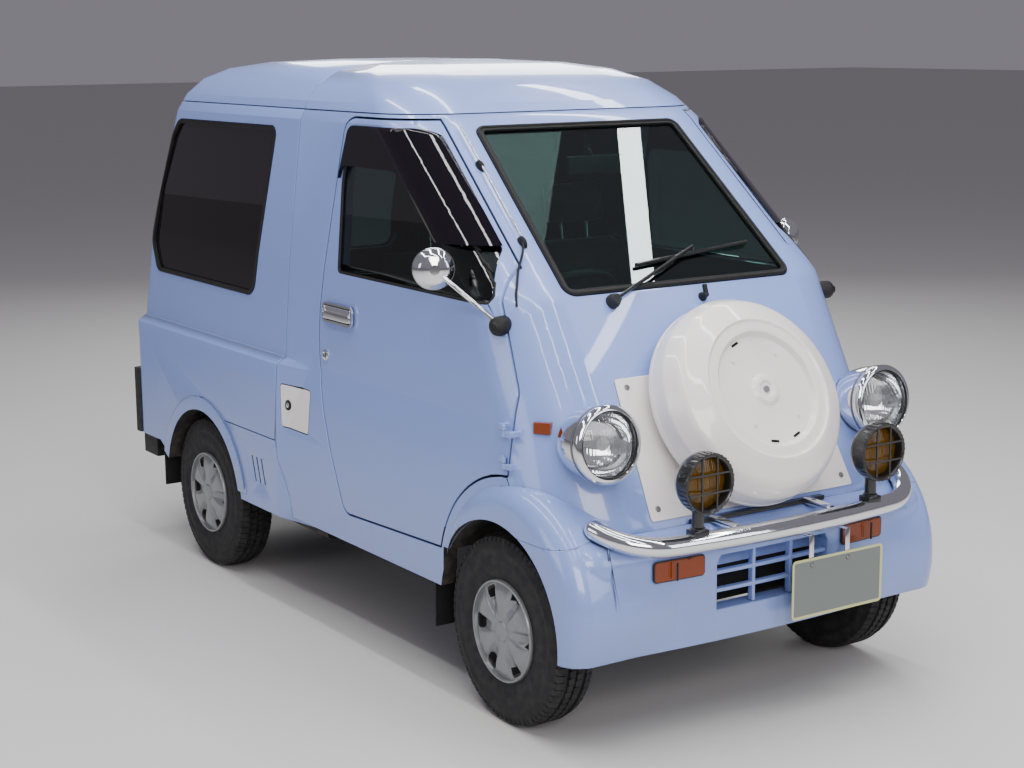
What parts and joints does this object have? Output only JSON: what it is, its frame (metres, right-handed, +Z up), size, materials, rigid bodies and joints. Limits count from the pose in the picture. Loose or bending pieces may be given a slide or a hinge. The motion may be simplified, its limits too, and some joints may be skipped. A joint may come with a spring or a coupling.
{
  "type": "micro van with a spare wheel on its nose",
  "caption": "Small closed-body micro van with side doors, tailgate, steered front wheels and a covered spare wheel on its sloping nose.",
  "frame": {"origin": "on the ground, under the middle of the whole van's length and width", "axes": "+X forward, +Y to the van's left, +Z up"},
  "size_m": [2.88, 1.4309, 1.735],
  "materials": {
    "body_paint": "pastel blue gloss paint",
    "white_paint": "warm white gloss paint",
    "chrome": "polished",
    "black_paint": "satin black",
    "clear_glass": "slightly green, clear",
    "dark_glass": "dark tint",
    "amber_lens": "amber",
    "orange_lens": "orange",
    "plate": "pale grey-green, blank",
    "rubber": "matt",
    "dark_plastic": "grained",
    "grey_metal": "dark grey chassis paint",
    "seat_fabric": "woven",
    "tyre": "matt",
    "silver": "silver paint"
  },
  "bodies": {
    "body": {"bumper_bar": "chrome", "cab_shell": "body_paint", "cargo_shell": "body_paint", "chassis_frame": "black_paint", "dashboard": "dark_plastic", "engine": "grey_metal", "exhaust": "grey_metal", "floor_pan": "grey_metal", "fog_lamps": "black_paint", "fog_lenses": "amber_lens", "front_apron": "body_paint", "front_suspension": "grey_metal", "front_wings": "body_paint", "fuel_tank": "grey_metal", "grille": "body_paint", "headlamp_lenses": "clear_glass", "headlamps": "chrome", "mud_flaps": "rubber", "nose_panel": "white_paint", "number_plates": "plate", "quarter_glass": "dark_glass", "rear_axle": "grey_metal", "rear_bumper": "black_paint", "roof_panel": "body_paint", "seats": "seat_fabric", "skirt_panels": "body_paint", "spare_carrier": "black_paint", "spare_cover": "white_paint", "tail_lamps": "black_paint", "turn_lamps": "orange_lens", "window_seals": "rubber", "windscreen": "clear_glass", "wiper": "black_paint"},
    "steering_wheel": {"steering_wheel": "dark_plastic"},
    "knuckle_right": {"knuckle_right": "grey_metal"},
    "knuckle_left": {"knuckle_left": "grey_metal"},
    "door_right": {"door_right": "body_paint", "door_glass_right": "clear_glass", "mirror_right": "chrome"},
    "door_left": {"door_left": "body_paint", "door_glass_left": "clear_glass", "mirror_left": "chrome"},
    "tailgate": {"tailgate": "body_paint", "tailgate_glass": "clear_glass"},
    "fuel_lid": {"fuel_lid": "white_paint"},
    "wheel_front_right": {"tyre_front_right": "tyre", "wheel_front_right": "silver"},
    "wheel_front_left": {"tyre_front_left": "tyre", "wheel_front_left": "silver"},
    "wheel_rear_right": {"tyre_rear_right": "tyre", "wheel_rear_right": "silver"},
    "wheel_rear_left": {"tyre_rear_left": "tyre", "wheel_rear_left": "silver"}
  },
  "joints": [
    {"name": "steer_right", "type": "hinge", "parent": "body", "child": "knuckle_right", "pos_m": [0.97, -0.455, 0.26], "axis": [0, 0, 1], "range_deg": [-32, 32]},
    {"name": "steer_left", "type": "hinge", "parent": "body", "child": "knuckle_left", "pos_m": [0.97, 0.455, 0.26], "axis": [0, 0, 1], "range_deg": [-32, 32]},
    {"name": "steering_wheel_turn", "type": "hinge", "parent": "body", "child": "steering_wheel", "pos_m": [0.6, -0.185, 1.045], "axis": [-0.6198, 0, 0.7848], "range_deg": [-480, 480]},
    {"name": "door_right_hinge", "type": "hinge", "parent": "body", "child": "door_right", "pos_m": [0.99, -0.621, 0.76], "axis": [0, 0, 1], "range_deg": [0, 65]},
    {"name": "door_left_hinge", "type": "hinge", "parent": "body", "child": "door_left", "pos_m": [0.99, 0.621, 0.76], "axis": [0, 0, -1], "range_deg": [0, 65]},
    {"name": "tailgate_hinge", "type": "hinge", "parent": "body", "child": "tailgate", "pos_m": [-1.188, 0, 1.566], "axis": [0, 1, 0], "range_deg": [0, 85]},
    {"name": "fuel_lid_hinge", "type": "hinge", "parent": "body", "child": "fuel_lid", "pos_m": [-0.0965, -0.6212, 0.671], "axis": [0, 0.0905, 0.9959], "range_deg": [0, 100]},
    {"name": "wheel_front_right_spin", "type": "hinge", "parent": "knuckle_right", "child": "wheel_front_right", "pos_m": [0.97, -0.555, 0.26], "axis": [0, 1, 0], "continuous": true},
    {"name": "wheel_front_left_spin", "type": "hinge", "parent": "knuckle_left", "child": "wheel_front_left", "pos_m": [0.97, 0.555, 0.26], "axis": [0, 1, 0], "continuous": true},
    {"name": "wheel_rear_right_spin", "type": "hinge", "parent": "body", "child": "wheel_rear_right", "pos_m": [-0.87, -0.555, 0.26], "axis": [0, 1, 0], "continuous": true},
    {"name": "wheel_rear_left_spin", "type": "hinge", "parent": "body", "child": "wheel_rear_left", "pos_m": [-0.87, 0.555, 0.26], "axis": [0, 1, 0], "continuous": true}
  ],
  "couplings": [
    {"joint": "steer_left", "follows": "steer_right", "ratio": 1},
    {"joint": "steering_wheel_turn", "follows": "steer_right", "ratio": 15}
  ]
}
